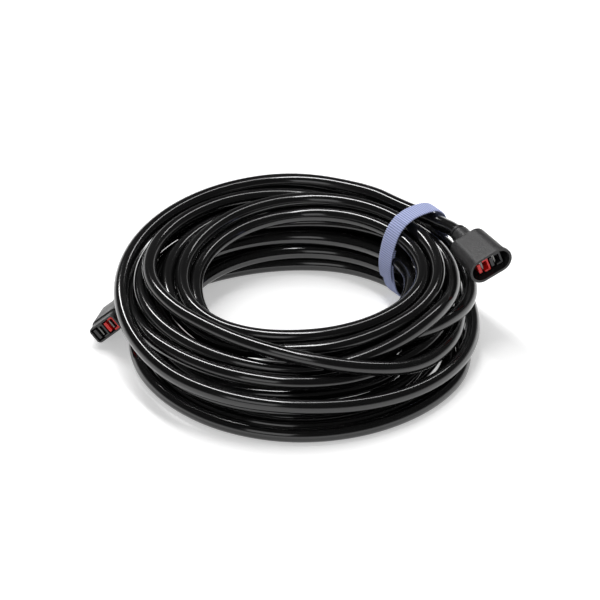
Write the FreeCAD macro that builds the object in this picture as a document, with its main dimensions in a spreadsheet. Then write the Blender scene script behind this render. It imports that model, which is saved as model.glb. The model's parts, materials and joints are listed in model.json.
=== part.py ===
"""Coiled two-core DC extension lead with a genderless two-pole connector on each end.

The lead lies coiled on a floor at Z = 0.  The coil is closed by a hook-and-loop strap.
Each connector is built in a frame of its own: X points out of the mouth, Y runs along
the wide side from pole to pole, Z runs through the thickness.  All sizes are in mm.
"""
import FreeCAD
import Part
import Sketcher
import math
import os
import re

App = FreeCAD
Vector = App.Vector
doc = App.newDocument("dc_extension_lead")

# ---------------------------------------------------------------- driving sizes
SIZES = {
    # cord
    "cord_diameter": 8.3,
    "core_diameter": 3.2,
    "core_spacing": 3.9,
    # coil, seen from above and in section
    "coil_centre_x": -2.8,
    "coil_centre_y": 0.0,
    "widest_pitch": 8.0,
    "coil_height": 44.0,
    "top_width": 23.0,
    "top_inset": 16.0,
    "top_outer_radius": "=outer_outer_radius - top_inset",
    "top_inner_radius": "=top_outer_radius - top_width",
    "top_bottom_height": 20.0,
    "top_shift_x": 3.0,
    "top_shift_y": 7.0,
    "outer_outer_radius": 101.0,
    "outer_width": 21.0,
    "outer_inner_radius": "=outer_outer_radius - outer_width",
    "outer_middle_height": 29.0,
    "outer_depth": 15.7,
    "outer_tilt": 6.5,
    "outer_high_side": 120.0,
    "lower_width": 23.5,
    "lower_inset": 6.5,
    "lower_outer_radius": "=outer_outer_radius - lower_inset",
    "lower_inner_radius": "=lower_outer_radius - lower_width",
    "lower_top_height": 29.0,
    "lower_shift_x": 2.5,
    "lower_shift_y": -6.0,
    # poles
    "pole_width": 7.9,
    "pole_length": 22.0,
    "pole_front_length": 8.6,
    "pole_wall": 1.0,
    "pole_web": 1.6,
    "hood_edge": 0.35,
    "tongue_face": 1.25,
    "tongue_inset": 0.9,
    "barrel_bore": 5.6,
    # contacts and leaf springs
    "blade_thickness": 0.8,
    "blade_width": 5.0,
    "blade_setback": 1.6,
    "barrel_diameter": 4.6,
    "barrel_length": 8.0,
    "strand_diameter": 3.0,
    "leaf_thickness": 0.2,
    "leaf_width": 4.2,
    "leaf_length": 8.0,
    "leaf_rise": 0.6,
    "leaf_clearance": 0.05,
    "flex_gap": 0.3,
    # socket end
    "socket_width": 25.4,
    "socket_thickness": 13.8,
    "socket_rear_width": 22.0,
    "socket_rear_thickness": 11.6,
    "socket_spacer_length": 4.9,
    "socket_length": "=socket_recess + pole_length + socket_spacer_length + jacket_entry",
    "socket_wall": 0.9,
    "socket_recess": 2.6,
    "socket_cavity_depth": 11.6,
    "socket_lip_length": 2.0,
    "socket_lip_rise": 0.5,
    # plug end
    "plug_width": 17.8,
    "plug_thickness": 9.9,
    "plug_corner": 2.4,
    "plug_nose_length": 9.0,
    "plug_step": 0.8,
    "plug_spacer_length": 5.7,
    "plug_length": "=plug_recess + pole_length + plug_spacer_length + jacket_entry",
    "plug_recess": 0.8,
    # both connectors
    "neck_diameter": 10.6,
    "neck_length": 7.0,
    "relief_diameter": 9.6,
    "relief_length": 3.2,
    "relief_groove": 0.8,
    "cord_clearance": 0.15,
    "shoulder_radius": 2.5,
    "spacer_thickness": 6.0,
    "jacket_entry": 0.5,
    # strap, in the upright plane through the coil's axis
    "strap_angle": 38.0,
    "strap_width": 11.0,
    "strap_thickness": 1.0,
    "strap_slack": 3.0,
    "strap_span": 41.4,
    "strap_outer_reach": "=outer_outer_radius + strap_slack",
    "strap_inner_reach": "=strap_outer_reach - strap_span",
    "strap_height": 52.6,
    "strap_corner": 11.0,
    "strap_clearance": 0.3,
    "flap_length": 26.0,
    "flap_thickness": 1.0,
    "flap_tip_height": 16.0,
    "hook_thickness": 0.6,
    "hook_margin": 0.8,
    # where each mouth lies, from the coil's centre, and which way it points in degrees
    "socket_beyond_coil": 7.3,
    "socket_mouth_y": 0.3,
    "socket_mouth_z": 50.3,
    "socket_heading": -63.0,
    "socket_climb": 2.0,
    "socket_roll": 18.0,
    "plug_beyond_coil": 5.0,
    "plug_mouth_y": -7.0,
    "plug_mouth_z": 12.75,
    "plug_heading": -106.0,
    "plug_climb": 7.0,
    "plug_roll": 44.0,
}

sheet = doc.addObject("Spreadsheet::Sheet", "Sizes")
for row, (alias, number) in enumerate(SIZES.items(), start=1):
    sheet.set("A%d" % row, alias)
    sheet.set("B%d" % row, str(number))
    sheet.setAlias("B%d" % row, alias)
doc.recompute()
ALIAS = re.compile(r"\b(%s)\b" % "|".join(sorted(SIZES, key=len, reverse=True)))


def size(alias):
    """The number that the sheet holds under a name."""
    return float(sheet.get(alias))


def linked(text):
    """An expression with every size name pointed at the sheet."""
    return ALIAS.sub(r"Sizes.\1", text)


def value(text):
    """The number that an expression of size names comes to."""
    total = sheet.evalExpression(linked(text).replace("Sizes.", ""))
    return float(total)


def bind(thing, prop, text):
    """Tie one property to an expression of size names."""
    thing.setExpression(prop, linked(text))


# ---------------------------------------------------------------- primitives
def box(name, x, y, z):
    """A block between pairs of expressions along each axis."""
    block = doc.addObject("Part::Box", name)
    for prop, pair in (("Length", x), ("Width", y), ("Height", z)):
        bind(block, prop, "(%s) - (%s)" % (pair[1], pair[0]))
    for axis, pair in (("x", x), ("y", y), ("z", z)):
        bind(block, "Placement.Base." + axis, pair[0])
    return block


def rod(name, diameter, x, y="0"):
    """A cylinder along X between two expressions, at a distance along Y."""
    cylinder = doc.addObject("Part::Cylinder", name)
    cylinder.Placement = App.Placement(Vector(), App.Rotation(Vector(0, 1, 0), 90))
    bind(cylinder, "Radius", "(%s) / 2" % diameter)
    bind(cylinder, "Height", "(%s) - (%s)" % (x[1], x[0]))
    bind(cylinder, "Placement.Base.x", x[0])
    bind(cylinder, "Placement.Base.y", y)
    return cylinder


def fuse(name, pieces):
    """One solid from several."""
    joined = doc.addObject("Part::MultiFuse", name)
    joined.Shapes = pieces
    joined.Refine = True
    return joined


def cut(name, base, tool):
    """A solid with another taken away."""
    result = doc.addObject("Part::Cut", name)
    result.Base = base
    result.Tool = tool
    result.Refine = True
    return result


# ---------------------------------------------------------------- sketches
def body(label):
    """An empty PartDesign body."""
    new = doc.addObject("PartDesign::Body", label)
    new.Label = label
    return new


def sketch(owner, role, name, offset="0"):
    """A sketch on one of the body's origin planes, moved along its normal."""
    plane = [item for item in owner.Origin.OriginFeatures if item.Role == role][0]
    drawn = owner.newObject("Sketcher::SketchObject", name)
    drawn.AttachmentSupport = [(plane, "")]
    drawn.MapMode = "FlatFace"
    bind(drawn, "AttachmentOffset.Base.z", offset)
    return drawn


def dimension(drawn, kind, where, text):
    """A driving constraint tied to an expression of size names."""
    index = drawn.addConstraint(Sketcher.Constraint(kind, *where, value(text)))
    drawn.setExpression("Constraints[%d]" % index, linked(text))


def line(drawn, start, end):
    """A straight edge between two places given as numbers."""
    edge = Part.LineSegment(Vector(*start, 0), Vector(*end, 0))
    return drawn.addGeometry(edge, False)


def arc(drawn, centre, radius, first, last):
    """An arc from one angle to another, in degrees, anticlockwise."""
    circle = Part.Circle(Vector(*centre, 0), Vector(0, 0, 1), radius)
    bow = Part.ArcOfCircle(circle, math.radians(first), math.radians(last))
    return drawn.addGeometry(bow, False)


def rounded_rectangle(drawn, width, height, corner):
    """A centred rectangle whose corners are arcs; sizes are expressions."""
    half_w = value(width) / 2
    half_h = value(height) / 2
    radius = value(corner)
    in_w = half_w - radius
    in_h = half_h - radius
    arcs = [
        arc(drawn, (in_w, in_h), radius, 0, 90),
        arc(drawn, (-in_w, in_h), radius, 90, 180),
        arc(drawn, (-in_w, -in_h), radius, 180, 270),
        arc(drawn, (in_w, -in_h), radius, 270, 360),
    ]
    lines = [
        line(drawn, (in_w, half_h), (-in_w, half_h)),
        line(drawn, (-half_w, in_h), (-half_w, -in_h)),
        line(drawn, (-in_w, -half_h), (in_w, -half_h)),
        line(drawn, (half_w, -in_h), (half_w, in_h)),
    ]
    for step in range(4):
        following = (step + 1) % 4
        drawn.addConstraint(Sketcher.Constraint("Tangent", arcs[step], 2, lines[step], 1))
        drawn.addConstraint(Sketcher.Constraint("Tangent", lines[step], 2, arcs[following], 1))
    drawn.addConstraint(Sketcher.Constraint("Horizontal", lines[0]))
    drawn.addConstraint(Sketcher.Constraint("Vertical", lines[1]))
    dimension(drawn, "Radius", (arcs[0],), corner)
    for bow in arcs[1:]:
        drawn.addConstraint(Sketcher.Constraint("Equal", arcs[0], bow))
    dimension(drawn, "DistanceX", (-1, 1, arcs[0], 3), "(%s) / 2 - (%s)" % (width, corner))
    dimension(drawn, "DistanceY", (-1, 1, arcs[0], 3), "(%s) / 2 - (%s)" % (height, corner))
    dimension(drawn, "DistanceX", (arcs[2], 3, -1, 1), "(%s) / 2 - (%s)" % (width, corner))
    dimension(drawn, "DistanceY", (arcs[2], 3, -1, 1), "(%s) / 2 - (%s)" % (height, corner))


def stadium(drawn, width, height):
    """A centred slot shape with round ends; sizes are expressions."""
    radius = value(height) / 2
    reach = value(width) / 2 - radius
    right = arc(drawn, (reach, 0), radius, -90, 90)
    left = arc(drawn, (-reach, 0), radius, 90, 270)
    top = line(drawn, (reach, radius), (-reach, radius))
    bottom = line(drawn, (-reach, -radius), (reach, -radius))
    drawn.addConstraint(Sketcher.Constraint("Tangent", right, 2, top, 1))
    drawn.addConstraint(Sketcher.Constraint("Tangent", top, 2, left, 1))
    drawn.addConstraint(Sketcher.Constraint("Tangent", left, 2, bottom, 1))
    drawn.addConstraint(Sketcher.Constraint("Tangent", bottom, 2, right, 1))
    drawn.addConstraint(Sketcher.Constraint("PointOnObject", right, 3, -1))
    drawn.addConstraint(Sketcher.Constraint("PointOnObject", left, 3, -1))
    dimension(drawn, "Radius", (right,), "(%s) / 2" % height)
    dimension(drawn, "DistanceX", (-1, 1, right, 3), "((%s) - (%s)) / 2" % (width, height))
    dimension(drawn, "DistanceX", (left, 3, -1, 1), "((%s) - (%s)) / 2" % (width, height))


def pad(owner, drawn, length, name, reverse=True):
    """A pad of a sketch, backwards along its normal unless told otherwise."""
    solid = owner.newObject("PartDesign::Pad", name)
    solid.Profile = drawn
    bind(solid, "Length", length)
    solid.Reversed = reverse
    return solid


def pocket(owner, drawn, length, name):
    """A pocket from a sketch, backwards along its normal; it must remove material."""
    doc.recompute()
    before = owner.Shape.Volume
    hollow = owner.newObject("PartDesign::Pocket", name)
    hollow.Profile = drawn
    bind(hollow, "Length", length)
    doc.recompute()
    if owner.Shape.Volume >= before - 1e-6:
        raise RuntimeError(owner.Label + ": " + name + " removes nothing")
    return hollow


# ---------------------------------------------------------------- free cord
def cord_path(points):
    """Straight runs joined by tangent arcs, each as large as its two runs allow."""
    places = [Vector(*point) for point in points]
    edges = []
    radii = []
    start = places[0]
    for before, corner, after in zip(places, places[1:], places[2:]):
        back = before - corner
        ahead = after - corner
        turn = math.pi - back.getAngle(ahead)
        reach = 0.45 * min(back.Length, ahead.Length)
        radii.append(reach / math.tan(turn / 2))
        back.normalize()
        ahead.normalize()
        first = corner + back * reach
        last = corner + ahead * reach
        bisector = back + ahead
        bisector.normalize()
        centre_gap = math.hypot(reach, radii[-1])
        middle = corner + bisector * (centre_gap - radii[-1])
        edges.append(Part.LineSegment(start, first).toShape())
        edges.append(Part.Arc(first, middle, last).toShape())
        start = last
    edges.append(Part.LineSegment(start, places[-1]).toShape())
    return Part.Wire(edges), radii


def tube(label, points, diameter):
    """A round cord along a path; its volume must be its section times its length."""
    path, radii = cord_path(points)
    along = Vector(*points[1]) - Vector(*points[0])
    ring = Part.Circle(Vector(*points[0]), along, diameter / 2).toShape()
    solid = path.makePipe(Part.Face(Part.Wire(ring)))
    expected = math.pi * diameter ** 2 / 4 * path.Length
    if abs(solid.Volume - expected) > 0.01 * expected:
        raise RuntimeError(label + ": volume is not section times length")
    cord = doc.addObject("Part::Feature", label)
    cord.Label = label
    cord.Shape = solid
    print(label, "length %.1f" % path.Length, "radii", ["%.1f" % radius for radius in radii])
    return cord


# ---------------------------------------------------------------- places
STRAP_POSE = App.Placement(Vector(), App.Rotation(Vector(0, 0, 1), size("strap_angle")))
COIL_PLACE = App.Placement(Vector(size("coil_centre_x"), size("coil_centre_y"), 0), App.Rotation())


def connector_pose(name, side):
    """A connector's mouth, beside the coil, and which way it points."""
    turned = App.Rotation(size(name + "_heading"), -size(name + "_climb"), size(name + "_roll"))
    out = size("outer_outer_radius") + size(name + "_beyond_coil")
    mouth = Vector(side * out, size(name + "_mouth_y"), size(name + "_mouth_z"))
    return COIL_PLACE * App.Placement(mouth, turned)


SOCKET_POSE = connector_pose("socket", 1)
PLUG_POSE = connector_pose("plug", -1)


# ---------------------------------------------------------------- strap loop
def strap_loop(label, margin):
    """The webbing loop around the bundle, grown all round by a margin."""
    owner = body(label)
    drawn = sketch(owner, "XZ_Plane", label + "_outline")
    wide = "strap_outer_reach - strap_inner_reach + 2 * (%s)" % margin
    tall = "strap_height + 2 * (%s)" % margin
    wall = "2 * (strap_thickness + 2 * (%s))" % margin
    rounded_rectangle(drawn, wide, tall, "strap_corner + (%s)" % margin)
    rounded_rectangle(drawn, "%s - %s" % (wide, wall), "%s - %s" % (tall, wall),
                      "strap_corner - strap_thickness - (%s)" % margin)
    band = pad(owner, drawn, "strap_width + 2 * (%s)" % margin, label + "_webbing", False)
    band.Midplane = True
    middle = (size("strap_outer_reach") + size("strap_inner_reach")) / 2
    centre = App.Placement(Vector(middle, 0, size("strap_height") / 2), App.Rotation())
    owner.Placement = STRAP_POSE * centre
    return owner


def strap_band():
    """The strap itself, around the bundle."""
    band = strap_loop("strap_band", "0")
    band.Placement = COIL_PLACE * band.Placement
    return band


# ---------------------------------------------------------------- coil
def ring_section(drawn, inner, outer, bottom, top):
    """A half section of stacked turns: flat below, one arc for each turn around the rest."""
    turn = value("cord_diameter") / 2
    low = value(bottom) + turn
    high = value(top) - turn
    near = value(inner) + turn
    far = value(outer) - turn
    rows = max(2, math.ceil((high - low) / value("widest_pitch")) + 1)
    columns = max(2, math.ceil((far - near) / value("widest_pitch")) + 1)
    centres = [(far, low + (high - low) * row / (rows - 1)) for row in range(rows)]
    centres += [(far - (far - near) * col / (columns - 1), high) for col in range(1, columns)]
    centres += [(near, high - (high - low) * row / (rows - 1)) for row in range(1, rows)]
    places = ["(%s) - cord_diameter / 2" % outer, "(%s) + cord_diameter / 2" % inner,
              "(%s) + cord_diameter / 2" % bottom, "(%s) - cord_diameter / 2" % top]
    rise = "((%s) - (%s)) / %d" % (places[3], places[2], rows - 1)
    run = "((%s) - (%s)) / %d" % (places[0], places[1], columns - 1)
    texts = [(places[0], "(%s) + %d * %s" % (places[2], row, rise)) for row in range(rows)]
    texts += [("(%s) - %d * %s" % (places[0], col, run), places[3]) for col in range(1, columns)]
    texts += [(places[1], "(%s) - %d * %s" % (places[3], row, rise)) for row in range(1, rows)]
    arcs = []
    for index, centre in enumerate(centres):
        first = -90.0
        last = 270.0
        if index > 0:
            first = meeting_angle(centre, centres[index - 1], turn, False)
        if index < len(centres) - 1:
            last = meeting_angle(centre, centres[index + 1], turn, True)
        if last < first:
            last += 360.0
        arcs.append(arc(drawn, centre, turn, first, last))
    floor_line = line(drawn, (near, value(bottom)), (far, value(bottom)))
    for before, after in zip(arcs, arcs[1:]):
        drawn.addConstraint(Sketcher.Constraint("Coincident", before, 2, after, 1))
    drawn.addConstraint(Sketcher.Constraint("Tangent", arcs[-1], 2, floor_line, 1))
    drawn.addConstraint(Sketcher.Constraint("Tangent", floor_line, 2, arcs[0], 1))
    for bow, (across, upward) in zip(arcs, texts):
        dimension(drawn, "Radius", (bow,), "cord_diameter / 2")
        dimension(drawn, "DistanceX", (-1, 1, bow, 3), across)
        dimension(drawn, "DistanceY", (-1, 1, bow, 3), upward)


def meeting_angle(centre, other, radius, leaving):
    """Where a turn's outline meets its neighbour's, as an angle about its centre."""
    across = other[0] - centre[0]
    upward = other[1] - centre[1]
    towards = math.degrees(math.atan2(upward, across))
    spread = math.degrees(math.acos(math.hypot(across, upward) / (2 * radius)))
    angle = towards - spread if leaving else towards + spread
    return angle % 360.0


def ring(label, inner, outer, bottom, top):
    """One bundle of turns, turned about the coil's axis."""
    owner = body(label)
    drawn = sketch(owner, "XZ_Plane", label + "_section")
    ring_section(drawn, inner, outer, bottom, top)
    turned = owner.newObject("PartDesign::Revolution", label + "_turns")
    turned.Profile = drawn
    turned.ReferenceAxis = (drawn, ["V_Axis"])
    turned.Angle = 360
    return owner


def cord_coil():
    """The outer shape of the whole coil, with a shallow bed for the strap below it."""
    top = ring("top_turns", "top_inner_radius", "top_outer_radius",
               "top_bottom_height", "coil_height")
    outer = ring("outer_turns", "outer_inner_radius", "outer_outer_radius",
                 "-outer_depth / 2", "outer_depth / 2")
    lower = ring("lower_turns", "lower_inner_radius", "lower_outer_radius",
                 "0", "lower_top_height")
    side = math.radians(size("outer_high_side"))
    hinge = Vector(math.sin(side), -math.cos(side), 0)
    outer.Placement = App.Placement(Vector(), App.Rotation(hinge, size("outer_tilt")))
    bind(outer, "Placement.Base.z", "outer_middle_height")
    bind(top, "Placement.Base.x", "top_shift_x")
    bind(top, "Placement.Base.y", "top_shift_y")
    bind(lower, "Placement.Base.x", "lower_shift_x")
    bind(lower, "Placement.Base.y", "lower_shift_y")
    bundle = fuse("turns", [top, outer, lower])
    bed = strap_loop("strap_bed", "strap_clearance")
    coil = cut("cord_coil", bundle, bed)
    coil.Placement = COIL_PLACE
    return coil


# ---------------------------------------------------------------- connectors
def pole_housing(label, recess, side):
    """A genderless pole: a block behind, a three-sided hood and a tongue in front."""
    front = "-(%s)" % recess
    step = "-(%s) - pole_front_length" % recess
    back = "-(%s) - pole_length" % recess
    middle = "%d * pole_width / 2" % side
    half = "pole_width / 2"
    across = ("%s - %s" % (middle, half), "%s + %s" % (middle, half))
    thick = ("-" + half, half)
    inner = "pole_width / 2 - pole_wall"
    block = box(label + "_block", (back, step), across, thick)
    hood = box(label + "_hood", (step + " - pole_web / 2", front),
               (middle + " + hood_edge", across[1]), thick)
    tongue = box(label + "_tongue", (step + " - pole_web / 2", front),
                 (across[0] + " + tongue_inset", middle + " - tongue_face"),
                 ("-(%s)" % inner, inner))
    hood_room = box(label + "_hood_room", (step, front + " + 1"),
                    (middle + " - tongue_face / 2", across[1] + " - pole_wall"),
                    ("-(%s)" % inner, inner))
    slot = box(label + "_blade_slot", (step + " - pole_web - 1", step + " + 0.5"),
               (middle + " - tongue_face", middle + " + tongue_face"),
               ("-blade_width / 2 - flex_gap", "blade_width / 2 + flex_gap"))
    bore = rod(label + "_bore", "barrel_bore", (back + " - 1", step + " - pole_web"), middle)
    solid = fuse(label + "_outside", [block, hood, tongue])
    hollow = fuse(label + "_inside", [hood_room, slot, bore])
    return cut(label, solid, hollow)


def contact(label, recess, side):
    """A flat blade and, behind it, the barrel that is crimped on the wire."""
    tip = "-(%s) - blade_setback" % recess
    root = "-(%s) - pole_front_length - pole_web - flex_gap" % recess
    tail = root + " - barrel_length"
    middle = "%d * pole_width / 2" % side
    blade = box(label + "_blade", (root + " - 1", tip),
                (middle + " - blade_thickness / 2", middle + " + blade_thickness / 2"),
                ("-blade_width / 2", "blade_width / 2"))
    trim = rod(label + "_blade_root", "barrel_diameter", (root + " - 1.6", root + " - 0.4"), middle)
    barrel = rod(label + "_barrel", "barrel_diameter", (tail, root + " - 1"), middle)
    bore = rod(label + "_bore", "strand_diameter", (tail + " - 1", root + " - 1.6"), middle)
    solid = fuse(label + "_outside", [blade, trim, barrel])
    return cut(label, solid, bore)


def strands(label, recess, side):
    """The bare copper inside a contact's barrel, with its trimmed end in front."""
    root = "-(%s) - pole_front_length - pole_web - flex_gap" % recess
    middle = "%d * pole_width / 2" % side
    bundle = rod(label + "_bundle", "strand_diameter",
                 (root + " - barrel_length", root + " - 1.9"), middle)
    trimmed = rod(label + "_trimmed", "strand_diameter - flex_gap",
                  (root + " - 2.5", root + " - 1.6"), middle)
    return fuse(label, [bundle, trimmed])


def leaf_spring(label, recess, side):
    """A bent strip that lies on the tongue and pushes the blade towards the hood."""
    owner = body(label)
    drawn = sketch(owner, "XY_Plane", label + "_edge")
    seat = "-(%s) - pole_front_length - pole_web" % recess
    base = "%d * pole_width / 2 - tongue_face + leaf_clearance" % side
    x0 = value(seat)
    y0 = value(base)
    thick = size("leaf_thickness")
    length = size("leaf_length")
    rise = size("leaf_rise")
    outline = [(x0, y0), (x0 + length / 4, y0), (x0 + length, y0 + rise - thick),
               (x0 + length, y0 + rise), (x0 + length / 4, y0 + thick), (x0, y0 + thick)]
    texts = [("0", "0"), ("leaf_length / 4", "0"), ("leaf_length", "leaf_rise - leaf_thickness"),
             ("leaf_length", "leaf_rise"), ("leaf_length / 4", "leaf_thickness"),
             ("0", "leaf_thickness")]
    edges = [line(drawn, here, there) for here, there in zip(outline, outline[1:] + outline[:1])]
    for here, there in zip(edges, edges[1:] + edges[:1]):
        drawn.addConstraint(Sketcher.Constraint("Coincident", here, 2, there, 1))
    for edge, (along, up) in zip(edges, texts):
        dimension(drawn, "DistanceX", (edge, 1, -1, 1), "-((%s) + %s)" % (seat, along))
        dimension(drawn, "DistanceY", (-1, 1, edge, 1), "(%s) + %s" % (base, up))
    strip = pad(owner, drawn, "leaf_width", label + "_strip", False)
    strip.Midplane = True
    return owner


def core(label, recess, length, side, colour_gap):
    """One insulated core, from its contact's barrel to the end of the jacket."""
    start = value("-(%s) - pole_front_length - pole_web - flex_gap - barrel_length" % recess)
    start -= colour_gap
    end = -value(length) + size("jacket_entry")
    wide = side * size("pole_width") / 2
    close = side * size("core_spacing") / 2
    bend = (start - end) / 3
    points = [(start, wide, 0), (start - bend, wide, 0), (end + bend, close, 0), (end, close, 0)]
    return tube(label, points, size("core_diameter"))


def round_neck(label, length):
    """The round neck behind the wide body, around the cord."""
    start = "-(%s) - neck_length" % length
    return rod(label, "neck_diameter", (start, "-(%s) + 1" % length))


def inner_spacer(label, recess, length):
    """The block that keeps the two cores apart behind the poles."""
    front = "-(%s) - pole_length" % recess
    back = "-(%s) + jacket_entry" % length
    block = box(label + "_block", (back, front), ("-pole_width", "pole_width"),
                ("-spacer_thickness / 2", "spacer_thickness / 2"))
    room = "core_diameter / 2 + flex_gap / 4"
    slots = [box("%s_slot_%s" % (label, name), (back + " - 1", front + " + 1"), span,
                 ("-(%s)" % room, room))
             for name, span in (("red", ("0.5 - pole_width", "-0.25")),
                                ("black", ("0.25", "pole_width - 0.5")))]
    return cut(label, block, fuse(label + "_slots", slots))


def strain_relief(label, length):
    """A grooved sleeve moulded on the cord behind the neck."""
    front = "-(%s) - neck_length" % length
    back = front + " - relief_length"
    sleeve = rod(label + "_sleeve", "relief_diameter", (back, front))
    bore = rod(label + "_bore", "cord_diameter + 2 * cord_clearance",
               (back + " - 1", front + " + 1"))
    groove_outside = rod(label + "_groove_outside", "relief_diameter + 2",
                         (back + " + relief_length / 2", back + " + relief_length / 2 + relief_groove"))
    groove_inside = rod(label + "_groove_inside", "relief_diameter - relief_groove",
                        (back, front))
    groove = cut(label + "_groove", groove_outside, groove_inside)
    return cut(label, sleeve, fuse(label + "_hollow", [bore, groove]))


def pole_rooms(label, recess, length):
    """What an overmould leaves free behind its mouth: poles, spacer, cores and cord."""
    back_of_poles = "-(%s) - pole_length" % recess
    poles = box(label + "_poles", (back_of_poles, "0"), ("-pole_width", "pole_width"),
                ("-pole_width / 2", "pole_width / 2"))
    spacer = box(label + "_spacer", ("-(%s) + jacket_entry" % length, back_of_poles + " + 0.2"),
                 ("-pole_width", "pole_width"),
                 ("-spacer_thickness / 2", "spacer_thickness / 2"))
    cord = rod(label + "_cord", "cord_diameter + 2 * cord_clearance",
               ("-(%s) - neck_length - 1" % length, "-(%s) + jacket_entry" % length))
    return [poles, spacer, cord]


def socket_overmould():
    """The shroud: a wide flattened body, a deep mouth around the poles and a round neck."""
    owner = body("socket_outside")
    front = sketch(owner, "YZ_Plane", "socket_front")
    stadium(front, "socket_width", "socket_thickness")
    rear = sketch(owner, "YZ_Plane", "socket_rear", "-socket_length")
    stadium(rear, "socket_rear_width", "socket_rear_thickness")
    loft = owner.newObject("PartDesign::AdditiveLoft", "socket_taper")
    loft.Profile = front
    loft.Sections = [rear]
    lip = sketch(owner, "YZ_Plane", "socket_lip_outline")
    stadium(lip, "socket_width + 2 * socket_lip_rise", "socket_thickness + 2 * socket_lip_rise")
    pad(owner, lip, "socket_lip_length", "socket_lip")
    mouth = sketch(owner, "YZ_Plane", "socket_mouth")
    stadium(mouth, "socket_width - 2 * socket_wall", "socket_thickness - 2 * socket_wall")
    pocket(owner, mouth, "socket_cavity_depth", "socket_cavity")
    round_rear_edges(owner, "socket_length")
    outside = fuse("socket_mass", [owner, round_neck("socket_neck", "socket_length")])
    rooms = fuse("socket_rooms", pole_rooms("socket_room", "socket_recess", "socket_length"))
    return cut("socket_overmould", outside, rooms)


def plug_overmould():
    """The plug: a slim nose that enters a socket's mouth, a stepped body and a round neck."""
    owner = body("plug_outside")
    nose = sketch(owner, "YZ_Plane", "plug_front")
    rounded_rectangle(nose, "plug_width", "plug_thickness", "plug_corner")
    pad(owner, nose, "plug_nose_length", "plug_nose")
    shell = sketch(owner, "YZ_Plane", "plug_shell", "-plug_nose_length + 1")
    rounded_rectangle(shell, "plug_width + 2 * plug_step", "plug_thickness + 2 * plug_step",
                      "plug_corner + plug_step")
    pad(owner, shell, "plug_length - plug_nose_length + 1", "plug_body")
    round_rear_edges(owner, "plug_length")
    outside = fuse("plug_mass", [owner, round_neck("plug_neck", "plug_length")])
    rooms = fuse("plug_rooms", pole_rooms("plug_room", "plug_recess", "plug_length"))
    return cut("plug_overmould", outside, rooms)


def round_rear_edges(owner, length):
    """Round the edges where the wide body ends, ahead of the neck."""
    doc.recompute()
    rear = -size(length)
    sharp = owner.Tip
    names = ["Edge%d" % number for number, edge in enumerate(sharp.Shape.Edges, start=1)
             if all(abs(edge.valueAt(place).x - rear) < 1e-4 for place in edge.ParameterRange)
             and abs(edge.CenterOfMass.x - rear) < 1e-4]
    fillet = owner.newObject("PartDesign::Fillet", owner.Label + "_shoulder")
    fillet.Base = (sharp, names)
    bind(fillet, "Radius", "shoulder_radius")
    doc.recompute()


def connector(name, overmould, recess, length, pose):
    """Every piece of one end, placed where the end lies."""
    pieces = [overmould(), inner_spacer(name + "_core_spacer", recess, length),
              strain_relief(name + "_strain_relief", length)]
    for colour, side in (("red", -1 if name == "socket" else 1),
                         ("black", 1 if name == "socket" else -1)):
        stem = "%s_%s_" % (name, colour)
        pieces.append(pole_housing(stem + "pole_housing", recess, side))
        pieces.append(contact(stem + "contact", recess, side))
        pieces.append(strands(stem + "copper_strands", recess, side))
        pieces.append(leaf_spring(stem + "leaf_spring", recess, side))
        pieces.append(core(stem + "core", recess, length, side, size("flex_gap")))
    for piece in pieces:
        piece.Placement = pose * piece.Placement
    return pieces


# ---------------------------------------------------------------- strap
def strap_place(reach, height):
    """A place in the strap's upright plane."""
    return COIL_PLACE * STRAP_POSE * App.Placement(Vector(reach, 0, height), App.Rotation())


def strap_flap():
    """The free end of the strap, which lies on the band and peels off it."""
    owner = body("strap_flap")
    drawn = sketch(owner, "YZ_Plane", "flap_outline")
    half = size("strap_width") / 2
    length = size("flap_length")
    edges = [line(drawn, (-half, length), (-half, half)), arc(drawn, (0, half), half, 180, 360),
             line(drawn, (half, half), (half, length)), line(drawn, (half, length), (-half, length))]
    drawn.addConstraint(Sketcher.Constraint("Tangent", edges[0], 2, edges[1], 1))
    drawn.addConstraint(Sketcher.Constraint("Tangent", edges[1], 2, edges[2], 1))
    drawn.addConstraint(Sketcher.Constraint("Coincident", edges[2], 2, edges[3], 1))
    drawn.addConstraint(Sketcher.Constraint("Coincident", edges[3], 2, edges[0], 1))
    drawn.addConstraint(Sketcher.Constraint("Horizontal", edges[3]))
    drawn.addConstraint(Sketcher.Constraint("PointOnObject", edges[1], 3, -2))
    dimension(drawn, "Radius", (edges[1],), "strap_width / 2")
    dimension(drawn, "DistanceY", (-1, 1, edges[1], 3), "strap_width / 2")
    dimension(drawn, "DistanceY", (-1, 1, edges[3], 1), "flap_length")
    pad(owner, drawn, "flap_thickness", "flap_webbing", True)
    reach = size("strap_inner_reach") - size("strap_clearance") - size("hook_thickness")
    owner.Placement = strap_place(reach, size("flap_tip_height"))
    return owner


def strap_hook_patch():
    """The strip of hooks on the flap's inside, which grips the band's pile."""
    patch = box("hook_block", ("0", "hook_thickness"),
                ("hook_margin - strap_width / 2", "strap_width / 2 - hook_margin"),
                ("strap_width / 2", "flap_length - hook_margin"))
    tip = box("hook_tip", ("0", "hook_thickness"),
              ("-strap_width / 4", "strap_width / 4"),
              ("hook_margin", "strap_width / 2 + 1"))
    hooks = fuse("strap_hook_patch", [patch, tip])
    reach = size("strap_inner_reach") - size("strap_clearance") - size("hook_thickness")
    hooks.Placement = strap_place(reach, size("flap_tip_height"))
    return hooks


def tail(label, pose, length, route):
    """The loose cord between a connector and the coil, from its jacket's end."""
    inside = -size(length) + size("jacket_entry")
    clear = -size(length) - size("neck_length") - size("relief_length") - size("cord_diameter") / 4
    points = [pose.multVec(Vector(inside, 0, 0)), pose.multVec(Vector(clear, 0, 0))]
    points += [COIL_PLACE.multVec(place) for place in route]
    return tube(label, points, size("cord_diameter"))


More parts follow.
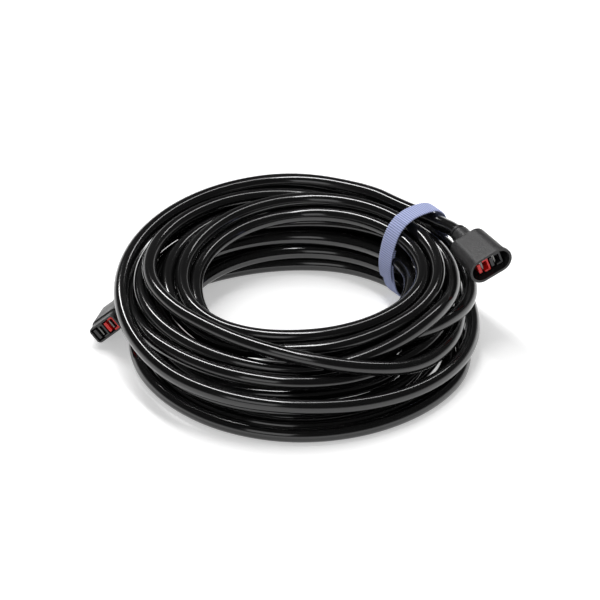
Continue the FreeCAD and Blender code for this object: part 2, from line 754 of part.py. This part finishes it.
def round_the_coil(reach, height, places):
    """Places on the coil: a share of the reach, degrees round the coil, a share of the height."""
    return [App.Rotation(Vector(0, 0, 1), angle).multVec(Vector(share * reach, 0, level * height))
            for share, angle, level in places]


SOCKET_ROUTE = round_the_coil(size("strap_outer_reach"), size("strap_height"), [
    (0.913, 31.5, 0.867), (0.892, 40.5, 0.844), (0.887, 51.8, 0.798), (0.886, 64.3, 0.732)])
PLUG_ROUTE = round_the_coil(size("outer_outer_radius"), size("cord_diameter"), [
    (0.979, 152.3, 0.72), (0.938, 143.4, 0.60), (0.882, 134.5, 0.55), (0.815, 126.1, 0.52)])


def save(pieces):
    """Check every object and write each piece's file."""
    doc.recompute()
    broken = [item.Label for item in doc.Objects
              if {"Invalid", "Error"} & set(item.State)]
    broken += [piece.Label for piece in pieces
               if piece.Shape.isNull() or not piece.Shape.isValid() or not piece.Shape.Solids]
    if broken:
        raise RuntimeError("broken: " + ", ".join(broken))
    os.makedirs("parts", exist_ok=True)
    for piece in pieces:
        piece.Shape.exportStep("parts/%s.step" % piece.Label)


# ---------------------------------------------------------------- assembly
PIECES = [cord_coil(), strap_band(), strap_flap(), strap_hook_patch()]
PIECES.append(tail("socket_cord_tail", SOCKET_POSE, "socket_length", SOCKET_ROUTE))
PIECES.append(tail("plug_cord_tail", PLUG_POSE, "plug_length", PLUG_ROUTE))
PIECES += connector("socket", socket_overmould, "socket_recess", "socket_length", SOCKET_POSE)
PIECES += connector("plug", plug_overmould, "plug_recess", "plug_length", PLUG_POSE)
save(PIECES)
whole = Part.makeCompound([piece.Shape for piece in PIECES])
print("whole", whole.BoundBox)
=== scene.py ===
import json
import math

import bmesh
import bpy
import numpy as np
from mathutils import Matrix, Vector


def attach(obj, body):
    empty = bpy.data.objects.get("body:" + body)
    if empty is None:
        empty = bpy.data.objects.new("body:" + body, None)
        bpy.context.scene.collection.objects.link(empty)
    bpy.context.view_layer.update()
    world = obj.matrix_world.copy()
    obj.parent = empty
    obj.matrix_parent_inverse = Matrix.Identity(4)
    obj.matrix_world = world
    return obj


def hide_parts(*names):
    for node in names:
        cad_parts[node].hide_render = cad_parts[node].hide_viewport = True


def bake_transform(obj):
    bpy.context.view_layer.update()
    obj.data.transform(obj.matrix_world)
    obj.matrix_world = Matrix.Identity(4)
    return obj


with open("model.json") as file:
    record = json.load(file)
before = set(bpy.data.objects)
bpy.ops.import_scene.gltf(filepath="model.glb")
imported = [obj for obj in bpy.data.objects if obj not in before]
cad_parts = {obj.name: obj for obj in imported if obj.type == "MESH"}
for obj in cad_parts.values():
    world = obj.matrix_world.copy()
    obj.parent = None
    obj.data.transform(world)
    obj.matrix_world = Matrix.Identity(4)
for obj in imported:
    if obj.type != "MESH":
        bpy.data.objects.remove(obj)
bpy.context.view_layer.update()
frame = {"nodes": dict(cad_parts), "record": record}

MM = 0.001
CORD = 8.3                      # cord's outside diameter, mm
COIL_X = -2.8                   # coil's middle, mm
STRAP_ANGLE = math.radians(38)  # where the strap stands round the coil


def put_in_scene(name, data):
    """A new object of the scene that shows the given data."""
    piece = bpy.data.objects.new(name, data)
    bpy.context.scene.collection.objects.link(piece)
    return piece


# ------------------------------------------------------------------ camera
CAMERA_ELEVATION = math.radians(33.5)
CAMERA_DISTANCE = 12.0
FIELD_WIDTH = 0.3333
SENSOR_WIDTH = 36.0
NEAREST, FARTHEST = 1.0, 60.0
AIM = Vector((-0.0006, 0.0, 0.02765))

lens = bpy.data.cameras.new("camera")
lens.sensor_width = SENSOR_WIDTH
lens.lens = lens.sensor_width / 2 / (FIELD_WIDTH / 2 / CAMERA_DISTANCE)
lens.clip_start, lens.clip_end = NEAREST, FARTHEST
camera = put_in_scene("camera", lens)
back = Vector((0, -math.cos(CAMERA_ELEVATION), math.sin(CAMERA_ELEVATION)))
camera.location = AIM + back * CAMERA_DISTANCE
camera.rotation_euler = (-back).to_track_quat("-Z", "Y").to_euler()
bpy.context.scene.camera = camera

# ------------------------------------------------------------------ cord
# Each turn of the coil, seen from above and going clockwise: the radii of the cord's middle
# and its heights, in mm, at eight places: back left, back, back right, right, front right,
# front, front left and left.
PLACES = (135, 90, 45, 0, -45, -90, -135, -180)
TURNS = [
    ((89.0, 88.5, 87.5, 89.0, 98.5, 100.0, 94.0, 88.0),
     (4.3, 4.15, 5.8, 4.15, 4.15, 4.15, 4.15, 4.15)),
    ((78.0, 72.2, 76.5, 80.0, 89.8, 91.5, 85.5, 79.5),
     (4.15, 4.15, 5.8, 4.15, 4.15, 4.3, 4.15, 4.15)),
    ((79.5, 80.5, 81.5, 84.0, 81.0, 83.0, 77.0, 71.0),
     (12.0, 8.5, 13.5, 12.0, 4.3, 4.5, 4.3, 4.5)),
    ((71.5, 72.0, 73.5, 75.0, 85.0, 91.0, 88.0, 86.0),
     (11.0, 12.4, 14.5, 14.5, 12.0, 15.3, 13.5, 12.5)),
    ((87.5, 84.5, 90.0, 75.5, 77.0, 82.5, 79.5, 77.0),
     (12.5, 17.0, 14.0, 23.0, 16.5, 19.5, 15.5, 14.0)),
    ((76.0, 74.0, 70.0, 63.5, 60.0, 58.5, 56.5, 55.5),
     (19.0, 20.6, 26.0, 35.0, 32.5, 28.5, 30.3, 33.0)),
    ((63.0, 75.0, 71.5, 70.7, 60.8, 55.4, 59.8, 62.8),
     (34.5, 35.2, 41.0, 42.0, 41.5, 40.0, 38.5, 38.0)),
    ((69.0, 80.5, 80.5, 79.0, 70.0, 64.0, 65.2, 71.2),
     (40.0, 41.5, 43.5, 42.5, 39.2, 36.8, 30.6, 35.7)),
    ((78.0, 89.0, 84.0, 84.0, 80.0, 86.5, 87.0, 92.5),
     (35.5, 29.5, 28.5, 27.0, 24.5, 30.3, 30.0, 26.5)),
    ((95.5, 97.8, 93.0, 89.5, 91.0, 75.0, 68.0, 81.0),
     (27.0, 26.5, 23.5, 18.5, 25.0, 40.0, 42.0, 42.0)),
    ((88.0, 89.5, 88.0, 87.5, 78.0, 74.0, 78.5, 86.0),
     (40.0, 38.0, 37.0, 34.5, 34.5, 30.0, 33.0, 33.5)),
    ((92.0, 97.0, 96.5, 96.5, 68.0, 66.5, 70.5, 77.5),
     (33.5, 34.8, 32.5, 27.5, 30.0, 25.5, 24.5, 28.0)),
    ((84.0, 80.5, 77.5, 78.5, 71.0, 74.0, 79.0, 84.0),
     (28.0, 27.0, 33.5, 33.3, 22.3, 21.0, 24.0, 22.0)),
    ((92.0, 93.0, 98.3, 98.0, 98.5, 97.5, 99.5, 97.0),
     (20.0, 19.0, 15.0, 10.5, 15.5, 22.0, 25.5, 35.5)),
    ((96.5, 97.0),
     (41.5, 43.7)),
]
# The two ends of the cord, from the coil's middle, in mm.
FROM_PLUG = [(-98.2, 20.2, 9.3), (-94.7, 32.4, 7.7), (-87.5, 46.0, 6.0), (-76.0, 56.5, 5.0)]
TO_SOCKET = [(40.0, 84.5, 43.0), (57.0, 72.5, 43.0), (70.6, 60.2, 44.4), (81.0, 49.6, 45.6),
             (89.1, 38.0, 48.8), (94.9, 26.6, 49.3)]
SPLINE_SHRINK = 1.0194  # a quadratic spline runs this much inside points 22.5 degrees apart
SAMPLES = 8             # places looked at from one point of the spline to the next
SETTLE_ROUNDS = 260
LIST_EVERY = 12         # rounds between two searches for stretches that lie close together
LISTED_GAP = 3.0        # the widest gap between surfaces that such a search lists, mm
SAME_STRETCH = 2.4      # places this many diameters apart along the cord don't push each other
TOUCHING = 0.15         # a gap under this one gets pushed, mm
PUSHED_TO = 0.2         # the gap that a push aims at, mm
PUSH = 1.6              # how hard the spline's points follow a push
RING_STEPS, SPAN_STEPS = 6, 12  # fineness round the cord and along each span


def coil_points():
    """The cord's points from plug to socket: its ends and, between them, two for each place."""
    places = [(angle - 360 * turn, radius, height)
              for turn, (radii, heights) in enumerate(TURNS)
              for angle, radius, height in zip(PLACES, radii, heights)]
    rounds = []
    for number in range(1, len(places)):
        here, there = places[number - 1], places[number]
        before = places[max(number - 2, 0)]
        after = places[min(number + 1, len(places) - 1)]
        if number > 1:
            rounds.append(here)
        # half way, on the smooth curve through the four nearest places
        half = [(9 * (here[k] + there[k]) - before[k] - after[k]) / 16 for k in (1, 2)]
        rounds.append(((here[0] + there[0]) / 2, *half))
    rounds.append(places[-1])
    points = [Vector(p) for p in FROM_PLUG]
    for angle, radius, height in rounds:
        turn = math.radians(angle)
        reach = radius * SPLINE_SHRINK
        points.append(Vector((reach * math.cos(turn), reach * math.sin(turn), height)))
    return points + [Vector(p) for p in TO_SOCKET]


def spline_weights(count):
    """How much each point counts at places along a clamped quadratic spline."""
    last = count - 2
    knots = [0, 0, 0, *range(1, last), last, last, last]
    places = np.linspace(0, last, last * SAMPLES + 1)
    weights = np.zeros((len(places), count))
    for row, at in enumerate(places):
        k = min(int(at), last - 1)
        a, b, c, d = knots[k + 1:k + 5]
        falling, rising = (c - at) / (c - b), (at - b) / (c - b)
        weights[row, k] = falling * (c - at) / (c - a)
        weights[row, k + 2] = rising * (at - b) / (d - b)
        weights[row, k + 1] = 1 - weights[row, k] - weights[row, k + 2]
    return weights


def settle(points):
    """Turns that would lie in each other are pushed apart until they only touch."""
    spots = np.array(points, float)
    weights = spline_weights(len(spots))
    total = weights.sum(0)[:, None]
    free = np.ones((len(spots), 1))     # the cord's two ends stay where they are
    free[:len(FROM_PLUG)] = 0
    free[-len(TO_SOCKET) + 1:] = 0
    line = weights @ spots
    spacing = np.linalg.norm(np.diff(line, axis=0), axis=1).mean()
    apart = math.ceil(SAME_STRETCH * CORD / spacing)
    for number in range(SETTLE_ROUNDS):
        line = weights @ spots
        if number % LIST_EVERY == 0:
            gaps = ((line[:, None, :] - line[None, :, :]) ** 2).sum(2)
            first, second = np.nonzero(np.triu(gaps < (CORD + LISTED_GAP) ** 2, apart))
        between = line[first] - line[second]
        gap = np.linalg.norm(between, axis=1)
        near = gap < CORD + TOUCHING
        i, j, between, gap = first[near], second[near], between[near], gap[near]
        if len(i) == 0:
            break
        push = between * ((CORD + PUSHED_TO - gap) / gap / 2)[:, None]
        move = np.zeros_like(line)
        count = np.zeros(len(line))
        np.add.at(move, i, push)
        np.add.at(move, j, -push)
        np.add.at(count, i, 1)
        np.add.at(count, j, 1)
        move /= np.maximum(count, 1)[:, None]
        spots += free * PUSH * (weights.T @ move) / total
        spots[:, 2] = np.maximum(spots[:, 2], CORD / 2)
    return spots


def make_cord():
    """The whole cord as one spline; each point's own radius makes it as thick as it is."""
    points = settle(coil_points())
    data = bpy.data.curves.new("cord", "CURVE")
    data.dimensions = "3D"
    spline = data.splines.new("NURBS")
    spline.points.add(len(points) - 1)
    for spot, (x, y, z) in zip(spline.points, points):
        spot.co = ((x + COIL_X) * MM, y * MM, z * MM, 1)
        spot.radius = CORD / 2 * MM
    spline.order_u = 3
    spline.use_endpoint_u = True
    spline.resolution_u = SPAN_STEPS
    data.bevel_depth = 1.0
    data.bevel_resolution = RING_STEPS
    return put_in_scene("cord", data)


cord = make_cord()
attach(cord, "lead")
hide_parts("cord_coil", "socket_cord_tail", "plug_cord_tail")

# ------------------------------------------------------------------ node groups
def node_group(name, inputs, outputs):
    """An empty shader group with named inputs and outputs."""
    group = bpy.data.node_groups.new(name, "ShaderNodeTree")
    for label, value in inputs:
        socket = group.interface.new_socket(label, in_out="INPUT",
                                            socket_type="NodeSocketFloat")
        socket.default_value = value
    for label in outputs:
        group.interface.new_socket(label, in_out="OUTPUT", socket_type="NodeSocketFloat")
    return group, group.nodes.new("NodeGroupInput"), group.nodes.new("NodeGroupOutput")


def add(tree, kind, links=(), **settings):
    """One node, its settings, and what feeds its inputs."""
    node = tree.nodes.new("ShaderNode" + kind)
    for key, value in settings.items():
        setattr(node, key, value)
    for socket, source in dict(links).items():
        if hasattr(source, "is_linked"):
            tree.links.new(source, node.inputs[socket])
        else:
            node.inputs[socket].default_value = source
    return node


def maths(tree, operation, *inputs, **settings):
    """The result of one sum on one or two values."""
    node = add(tree, "Math", enumerate(inputs), operation=operation, **settings)
    return node.outputs[0]


def spread(tree, value, low, high, to_low=0.0, to_high=1.0, **settings):
    """A value's range from low to high, spread over another one and cut off at its ends."""
    node = add(tree, "MapRange", {"Value": value, "From Min": low, "From Max": high,
                                  "To Min": to_low, "To Max": to_high}, **settings)
    return node.outputs["Result"]


def mixed_colour(tree, share, first, second):
    """Two colours mixed by a share, where 0 is all the first."""
    node = add(tree, "Mix", {0: share, 6: first, 7: second}, data_type="RGBA")
    return node.outputs[2]


def moulded_grain():
    """Fine pebbled skin of a moulded or extruded part: a height, and a patchy mask."""
    group, given, made = node_group("moulded_grain", [("Grain", 3000.0), ("Patches", 60.0)],
                                    ["Height", "Patchy"])
    where = add(group, "TexCoord").outputs["Object"]
    fine = add(group, "TexNoise", {"Vector": where, "Scale": given.outputs["Grain"],
                                   "Detail": 2.0, "Roughness": 0.6})
    broad = add(group, "TexNoise", {"Vector": where, "Scale": given.outputs["Patches"],
                                    "Detail": 4.0, "Roughness": 0.55})
    group.links.new(fine.outputs["Fac"], made.inputs["Height"])
    group.links.new(spread(group, broad.outputs["Fac"], 0.35, 0.7), made.inputs["Patchy"])
    return group


def settled_dust():
    """Pale dust and scuffs: more on faces that look up, broken into specks."""
    group, given, made = node_group("settled_dust", [("Amount", 0.2), ("Specks", 900.0)],
                                    ["Mask"])
    where = add(group, "TexCoord").outputs["Object"]
    facing = add(group, "SeparateXYZ", {"Vector": add(group, "NewGeometry").outputs["Normal"]})
    upward = spread(group, facing.outputs["Z"], -0.2, 1.0, 0.25, 1.0)
    specks = add(group, "TexNoise", {"Vector": where, "Scale": given.outputs["Specks"],
                                     "Detail": 5.0, "Roughness": 0.75})
    sharp = spread(group, specks.outputs["Fac"], 0.52, 0.78)
    dusty = maths(group, "MULTIPLY", upward, sharp)
    amount = maths(group, "MULTIPLY", dusty, given.outputs["Amount"], use_clamp=True)
    group.links.new(amount, made.inputs["Mask"])
    return group


# ------------------------------------------------------------------ finishes
GRAIN = moulded_grain()
DUST = settled_dust()
DUST_COLOUR = (0.45, 0.44, 0.42, 1)
COAT_ROUGHNESS = 0.12
RELIEF = 0.6            # strength of the grain's relief; its depth is each finish's own


def bare_material(name):
    """A material with an empty node tree."""
    material = bpy.data.materials.new(name)
    material.use_nodes = True
    material.node_tree.nodes.clear()
    return material


def finish(name, colour, other, rough, shine=0.05, metallic=0.0, grain=3000.0, depth=0.02,
           patches=60.0, dust=0.15, coat=0.0):
    """A material: two shades in patches, grain in its relief, uneven gloss and a little dust."""
    material = bare_material(name)
    tree = material.node_tree
    skin = add(tree, "Group", {"Grain": grain, "Patches": patches}, node_tree=GRAIN)
    specks = add(tree, "Group", {"Amount": dust}, node_tree=DUST)
    shade = mixed_colour(tree, skin.outputs["Patchy"], (*colour, 1), (*other, 1))
    dusty = mixed_colour(tree, specks.outputs["Mask"], shade, DUST_COLOUR)
    gloss = spread(tree, skin.outputs["Patchy"], 0.0, 1.0, rough - shine, rough + shine)
    dull = maths(tree, "ADD", gloss, specks.outputs["Mask"], use_clamp=True)
    relief = add(tree, "Bump", {"Height": skin.outputs["Height"], "Strength": RELIEF,
                                "Distance": depth * MM})
    shader = add(tree, "BsdfPrincipled", {
        "Base Color": dusty, "Roughness": dull, "Normal": relief.outputs["Normal"],
        "Metallic": metallic, "Coat Weight": coat, "Coat Roughness": COAT_ROUGHNESS})
    add(tree, "OutputMaterial", {"Surface": shader.outputs["BSDF"]})
    return material


def dress(piece, material):
    """A piece gets one material and no other."""
    piece.data.materials.clear()
    piece.data.materials.append(material)


LOOKS = {
    "cord_jacket": dict(
        colour=(0.0025, 0.0025, 0.0027), other=(0.0045, 0.0044, 0.0046), rough=0.15,
        shine=0.03, grain=500, depth=0.006, patches=25, dust=0.01, coat=0.5),
    "overmould": dict(
        colour=(0.012, 0.012, 0.0125), other=(0.022, 0.021, 0.022), rough=0.42,
        shine=0.06, grain=1100, depth=0.2, patches=90, dust=0.14),
    "strain_relief": dict(
        colour=(0.011, 0.011, 0.012), other=(0.02, 0.02, 0.021), rough=0.4,
        grain=1500, depth=0.05, dust=0.05),
    "spacer": dict(
        colour=(0.05, 0.05, 0.05), other=(0.07, 0.07, 0.07), rough=0.5),
    "red_housing": dict(
        colour=(0.78, 0.012, 0.009), other=(0.88, 0.018, 0.013), rough=0.32,
        grain=2000, dust=0.02),
    "black_housing": dict(
        colour=(0.01, 0.01, 0.011), other=(0.016, 0.016, 0.018), rough=0.3,
        grain=2000, dust=0.06),
    "red_insulation": dict(
        colour=(0.5, 0.02, 0.015), other=(0.6, 0.03, 0.02), rough=0.4),
    "black_insulation": dict(
        colour=(0.012, 0.012, 0.012), other=(0.02, 0.02, 0.02), rough=0.4),
    # the plating's dark grey is painted shade: bare plating is bright, and these contacts sit in
    # shadow inside the poles
    "contact_plating": dict(
        colour=(0.16, 0.158, 0.15), other=(0.24, 0.24, 0.23), rough=0.42,
        shine=0.08, metallic=1.0, grain=1500, depth=0.01, patches=300),
    "copper": dict(
        colour=(0.75, 0.3, 0.14), other=(0.85, 0.42, 0.22), rough=0.3,
        shine=0.08, metallic=1.0, grain=2500, patches=500),
    "spring_steel": dict(
        colour=(0.55, 0.55, 0.56), other=(0.65, 0.65, 0.66), rough=0.25,
        metallic=1.0, grain=1800, depth=0.01, patches=300),
}
FINISHES = {name: finish(name, **look) for name, look in LOOKS.items()}
dress(cord, FINISHES["cord_jacket"])
for part in frame["record"]["subparts"]:
    if part["material_slot"] in FINISHES:
        dress(frame["nodes"][part["node"]], FINISHES[part["material_slot"]])

# ------------------------------------------------------------------ strap
STRAP_WIDTH, STRAP_THICK = 11.0, 1.0
HOOK_WIDTH, HOOK_THICK = 9.4, 0.6
# Each strip's middle, in the strap's plane: distance from the coil's axis and height.  The
# band starts under the free end, goes down, round the turns and over the top, and comes down.
STRAP_STRIP = [(66.3, 36.0), (65.0, 30.0), (64.5, 24.5), (65.0, 19.0), (65.6, 15.0),
               (67.4, 8.7), (71.0, 3.4), (77.0, 0.7), (85.0, 0.5), (93.0, 0.5), (99.8, 3.4),
               (103.0, 10.5), (103.3, 26.0), (103.0, 38.0), (101.6, 44.5), (98.9, 48.6),
               (94.5, 51.2), (88.0, 52.3), (80.5, 52.2), (74.0, 50.3)]
FREE_END = [(74.0, 50.3), (69.6, 46.4), (66.3, 40.6), (64.3, 34.5), (63.1, 28.5),
            (62.8, 23.0), (63.5, 17.8), (64.0, 16.0)]
HOOK_STRIP = [(66.2, 37.5), (64.6, 32.5), (63.75, 27.0), (63.6, 23.0), (64.1, 18.6),
              (64.4, 17.2)]
LINE_STEPS = 16         # fineness between two points of a strip's line
STEP = 0.325            # places along a strip, mm
RIB_STEPS = 4           # places that make one rib: two on its crest, two in its groove
COLUMNS = 14            # fineness across a strip
TOOTH = 0.32            # how far a groove draws the edge in, mm
GROOVE = 0.13           # how deep a groove lies, mm
EDGE_THINNING, EDGE_SHARPNESS = 0.55, 8
THREAD = 0.5            # from one thread of the weave to the next, mm
WEAVE_UNIT = 10         # mm in one unit of the weave's own map


def in_strap_plane(reach, across, height):
    """A place in the strap's upright plane, in metres."""
    c, s = math.cos(STRAP_ANGLE), math.sin(STRAP_ANGLE)
    x, y = COIL_X + reach * c - across * s, reach * s + across * c
    return Vector((x * MM, y * MM, height * MM))


def smooth_line(points):
    """A smooth line through points, with its ends carried straight on."""
    spots = [np.array(p, float) for p in points]
    spots = [2 * spots[0] - spots[1], *spots, 2 * spots[-1] - spots[-2]]
    line = []
    for p0, p1, p2, p3 in zip(spots, spots[1:], spots[2:], spots[3:]):
        for step in range(LINE_STEPS):
            t = step / LINE_STEPS
            line.append(0.5 * ((2 * p1) + (p2 - p0) * t
                               + (2 * p0 - 5 * p1 + 4 * p2 - p3) * t * t
                               + (3 * p1 - p0 - 3 * p2 + p3) * t ** 3))
    return [*line, spots[-2]]


def evenly(line, spacing):
    """The same line with places at about an even spacing."""
    lengths = [np.linalg.norm(b - a) for a, b in zip(line, line[1:])]
    steps = np.concatenate([[0], np.cumsum(lengths)])
    places = np.linspace(0, steps[-1], round(steps[-1] / spacing) + 1)
    return np.array([[np.interp(at, steps, [p[k] for p in line]) for k in range(2)]
                     for at in places])


def section_of_weave(line, k, width, thick):
    """One closed section of a strip: where its corners lie, and the same on the weave's map."""
    along = line[min(k + 1, len(line) - 1)] - line[max(k - 1, 0)]
    along = along / np.linalg.norm(along)
    out = np.array([along[1], -along[0]])
    crest = k % RIB_STEPS < RIB_STEPS / 2
    corners, places = [], []
    for side in (1, -1):
        for column in range(COLUMNS + 1):
            share = (column / COLUMNS * 2 - 1) * side
            across = share * (width / 2 - (0.0 if crest else TOOTH))
            edge = 1 - EDGE_THINNING * abs(share) ** EDGE_SHARPNESS
            lift = side * (thick / 2 - (0.0 if crest else GROOVE)) * edge
            spot = line[k] + out * lift
            corners.append(in_strap_plane(spot[0], across, spot[1]))
            places.append((share * width / 2 / WEAVE_UNIT, k * STEP / WEAVE_UNIT))
    return corners, places


def object_from(mesh, name):
    """The finished mesh as an object of the scene."""
    data = bpy.data.meshes.new(name)
    mesh.to_mesh(data)
    mesh.free()
    return put_in_scene(name, data)


def webbing(name, points, width, thick):
    """A woven strip through points of the strap's plane: ribs across it and toothed edges."""
    line = evenly(smooth_line(points), STEP)
    mesh = bmesh.new()
    weave = mesh.loops.layers.uv.new("weave")
    rings = []
    for k in range(len(line)):
        corners, places = section_of_weave(line, k, width, thick)
        rings.append([(mesh.verts.new(corner), place)
                      for corner, place in zip(corners, places)])
    for ring, after in zip(rings, rings[1:]):
        for c in range(len(ring)):
            d = (c + 1) % len(ring)
            quad = (ring[c], ring[d], after[d], after[c])
            face = mesh.faces.new([corner for corner, place in quad])
            for loop, (corner, place) in zip(face.loops, quad):
                loop[weave].uv = place
    mesh.faces.new([corner for corner, place in rings[0][::-1]])
    mesh.faces.new([corner for corner, place in rings[-1]])
    bmesh.ops.recalc_face_normals(mesh, faces=mesh.faces[:])
    piece = object_from(mesh, name)
    for face in piece.data.polygons:
        face.use_smooth = True
    return piece


def strap_material(name, colour, painted_groove_shade, tint):
    """Ribbed woven strip: pale ribs, grooves painted darker as shade, fine cross threads and a
    soft sheen.
    """
    material = bare_material(name)
    tree = material.node_tree
    place = add(tree, "UVMap", {}, uv_map="weave")
    split = add(tree, "SeparateXYZ", {"Vector": place.outputs["UV"]})
    turns = maths(tree, "MULTIPLY", split.outputs["Y"],
                  2 * math.pi * WEAVE_UNIT / (RIB_STEPS * STEP))
    wave = maths(tree, "COSINE", maths(tree, "ADD", turns, -math.pi / RIB_STEPS))
    ribs = spread(tree, wave, -0.6, 0.9)
    threads = maths(tree, "MULTIPLY", split.outputs["X"], 2 * math.pi * WEAVE_UNIT / THREAD)
    fine = spread(tree, maths(tree, "SINE", threads), -1.0, 1.0, 0.0, 0.35)
    skin = add(tree, "Group", {"Grain": 2600, "Patches": 260}, node_tree=GRAIN)
    # the grooves between the ribs get a darker colour: painted shade in the recesses
    base = mixed_colour(tree, ribs, (*painted_groove_shade, 1), (*colour, 1))
    worn = maths(tree, "MULTIPLY", skin.outputs["Patchy"], 0.45)
    shade = mixed_colour(tree, worn, base, (*tint, 1))
    height = maths(tree, "ADD", maths(tree, "ADD", ribs, fine), skin.outputs["Height"])
    relief = add(tree, "Bump", {"Height": height, "Strength": 0.9, "Distance": 0.12 * MM})
    shader = add(tree, "BsdfPrincipled", {
        "Base Color": shade, "Roughness": 0.85, "Normal": relief.outputs["Normal"],
        "Sheen Weight": 0.25, "Sheen Roughness": 0.5, "Specular IOR Level": 0.25})
    add(tree, "OutputMaterial", {"Surface": shader.outputs["BSDF"]})
    return material


band = webbing("strap", STRAP_STRIP, STRAP_WIDTH, STRAP_THICK)
flap = webbing("strap_end", FREE_END, STRAP_WIDTH, STRAP_THICK)
hooks = webbing("strap_hooks", HOOK_STRIP, HOOK_WIDTH, HOOK_THICK)
# the grooves' colour is painted shade, darker than the webbing's own blue
WOVEN = strap_material("strap_webbing", colour=(0.52, 0.57, 0.86), painted_groove_shade=(0.22, 0.26, 0.44),
                       tint=(0.38, 0.42, 0.68))
HOOKED = finish("strap_hooks", (0.05, 0.055, 0.07), (0.09, 0.1, 0.13), 0.75, grain=1800,
                depth=0.25, patches=900, dust=0.02)
dress(band, WOVEN)
dress(flap, WOVEN)
dress(hooks, HOOKED)
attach(band, "lead")
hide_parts("strap_band")
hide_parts("strap_flap")
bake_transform(flap)
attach(hooks, "strap_free_end")
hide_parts("strap_hook_patch")

# ------------------------------------------------------------------ floor, light
WHITE = (1, 1, 1, 1)
FLOOR_COLOUR = (0.85, 0.85, 0.85, 1)
FLOOR_HALF, FLOOR_SQUARES = 3.0, 8
FLOOR_HEIGHT = -0.0003  # just under the cord
FLOOR_GLOW = 0.4        # what the floor adds where it is seen as the background
SKY = 0.3               # the even light from all round
LAMP_AIM = Vector((0, 0, 0.02))


def background_rays(tree):
    """1 for a ray that shows the background: to the camera, through glass or off a gloss."""
    rays = add(tree, "LightPath").outputs
    seen = maths(tree, "MAXIMUM", rays["Is Camera Ray"], rays["Is Transmission Ray"])
    return maths(tree, "MAXIMUM", seen, rays["Is Glossy Ray"])


def plain_floor():
    """A pale floor that keeps the object's shadow."""
    mesh = bmesh.new()
    bmesh.ops.create_grid(mesh, x_segments=FLOOR_SQUARES, y_segments=FLOOR_SQUARES,
                          size=FLOOR_HALF)
    floor = object_from(mesh, "floor")
    floor.location.z = FLOOR_HEIGHT
    material = bare_material("floor")
    tree = material.node_tree
    matt = add(tree, "BsdfDiffuse", {"Color": FLOOR_COLOUR}).outputs[0]
    bright = add(tree, "Emission", {"Color": WHITE, "Strength": FLOOR_GLOW}).outputs[0]
    both = add(tree, "AddShader", {0: matt, 1: bright}).outputs[0]
    mixed = add(tree, "MixShader", {0: background_rays(tree), 1: matt, 2: both})
    add(tree, "OutputMaterial", {"Surface": mixed.outputs[0]})
    dress(floor, material)


def lamp(name, place, size, power):
    """A soft box: size is its width and its length, and the length points at the zenith."""
    data = bpy.data.lights.new(name, "AREA")
    data.shape = "RECTANGLE"
    data.size, data.size_y = size
    data.energy = power
    piece = put_in_scene(name, data)
    piece.location = place
    piece.rotation_euler = (LAMP_AIM - Vector(place)).to_track_quat("-Z", "Y").to_euler()


def studio_world():
    """Even light; glossy faces see it white near the horizon and dim overhead."""
    world = bpy.data.worlds.new("studio")
    bpy.context.scene.world = world
    world.use_nodes = True
    tree = world.node_tree
    tree.nodes.clear()
    direction = add(tree, "TexCoord").outputs["Generated"]
    upward = add(tree, "SeparateXYZ", {"Vector": direction}).outputs["Z"]
    ceiling = spread(tree, upward, 0.02, 0.25, 1.0, 0.06, interpolation_type="SMOOTHSTEP")
    sky = add(tree, "Background", {"Color": WHITE, "Strength": SKY}).outputs[0]
    shown = add(tree, "Background", {"Color": WHITE, "Strength": ceiling}).outputs[0]
    mixed = add(tree, "MixShader", {0: background_rays(tree), 1: sky, 2: shown})
    add(tree, "OutputWorld", {"Surface": mixed.outputs[0]})


plain_floor()
lamp("strip_left", (-0.26, 0.42, 1.14), (0.14, 1.3), 12)
lamp("strip_right", (0.3, 0.46, 1.1), (0.1, 1.1), 3)
lamp("front", (-0.6, -1.5, 1.0), (0.9, 0.9), 3.5)
studio_world()
bpy.context.scene.view_settings.view_transform = "Standard"
